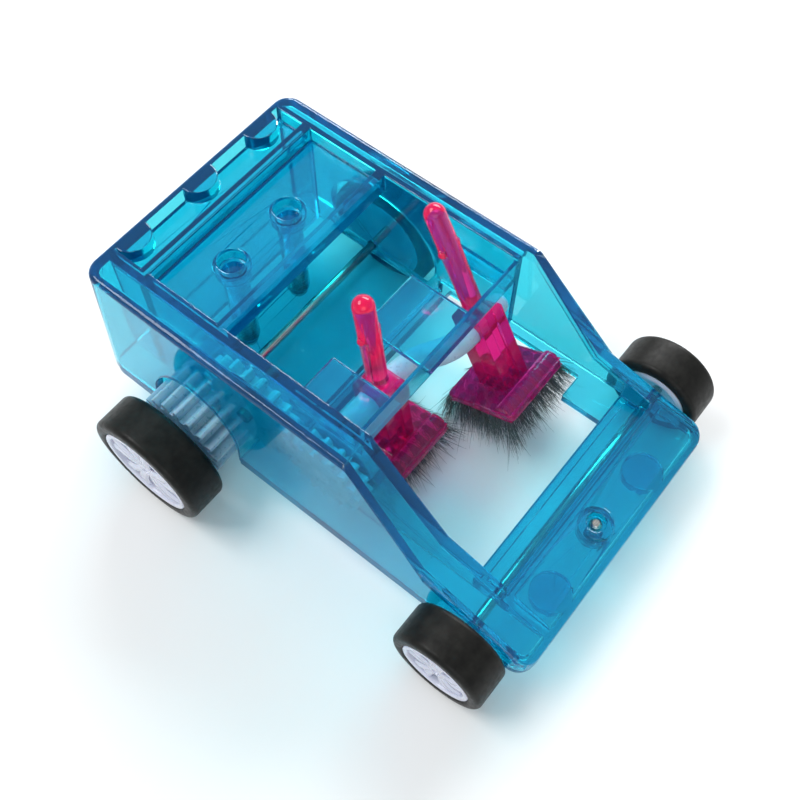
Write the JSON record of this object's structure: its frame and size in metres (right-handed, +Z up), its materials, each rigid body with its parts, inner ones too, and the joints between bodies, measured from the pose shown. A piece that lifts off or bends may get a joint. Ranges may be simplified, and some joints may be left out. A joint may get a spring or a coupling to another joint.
{
  "type": "sweeper robot car",
  "caption": "Push-along robot car of clear blue plastic whose rear axle drives gears and a crank that works two brush arms.",
  "frame": {"origin": "on the ground under the middle of the car's overall box", "axes": "+Z up, the nose points to -Y, the side with the gear train is -X"},
  "size_m": [0.0858, 0.1064, 0.0507],
  "materials": {
    "body_clear_blue": "clear tinted plastic",
    "base_clear_blue": "clear tinted plastic",
    "steel": "bright drawn steel",
    "tyre": "satin black",
    "hub_white": "gloss white",
    "gear_white": "natural translucent white",
    "arm_pink": "clear fluorescent pink",
    "bristle": "dark grey-green bristle"
  },
  "bodies": {
    "chassis": {"body_shell": "body_clear_blue", "base_plate": "base_clear_blue", "rear_screws": "steel", "nose_screw": "steel", "idler_pin": "steel"},
    "rear_wheels": {"rear_axle": "steel", "drive_gear": "gear_white", "rear_tyre_near": "tyre", "rear_hub_near": "hub_white", "rear_tyre_far": "tyre", "rear_hub_far": "hub_white"},
    "front_wheels": {"front_axle": "steel", "front_tyre_near": "tyre", "front_hub_near": "hub_white", "front_tyre_far": "tyre", "front_hub_far": "hub_white"},
    "idler": {"idler_gear": "gear_white"},
    "crank": {"crankshaft": "gear_white", "crank_gear": "gear_white"},
    "far_arm": {"far_brush_arm": "arm_pink", "far_bristles": "bristle"},
    "near_arm": {"near_brush_arm": "arm_pink", "near_bristles": "bristle"}
  },
  "joints": [
    {"name": "rear_wheel_spin", "type": "hinge", "parent": "chassis", "child": "rear_wheels", "pos_m": [0, 0.0273, 0.0131], "axis": [1, 0, 0], "continuous": true},
    {"name": "front_wheel_spin", "type": "hinge", "parent": "chassis", "child": "front_wheels", "pos_m": [0, -0.04, 0.01], "axis": [1, 0, 0], "continuous": true},
    {"name": "idler_spin", "type": "hinge", "parent": "chassis", "child": "idler", "pos_m": [0, 0.01433, 0.02706], "axis": [1, 0, 0], "continuous": true},
    {"name": "crank_spin", "type": "hinge", "parent": "chassis", "child": "crank", "pos_m": [0, -0.0033, 0.0232], "axis": [1, 0, 0], "continuous": true},
    {"name": "far_arm_pivot", "type": "hinge", "parent": "crank", "child": "far_arm", "pos_m": [0, -0.00645, 0.02447], "axis": [1, 0, 0], "continuous": true},
    {"name": "near_arm_pivot", "type": "hinge", "parent": "crank", "child": "near_arm", "pos_m": [0, -0.00015, 0.02193], "axis": [1, 0, 0], "continuous": true}
  ],
  "couplings": [
    {"joint": "idler_spin", "follows": "rear_wheel_spin", "ratio": -0.9},
    {"joint": "crank_spin", "follows": "rear_wheel_spin", "ratio": 1.125},
    {"joint": "far_arm_pivot", "follows": "rear_wheel_spin", "ratio": -1.125},
    {"joint": "near_arm_pivot", "follows": "rear_wheel_spin", "ratio": -1.125}
  ]
}
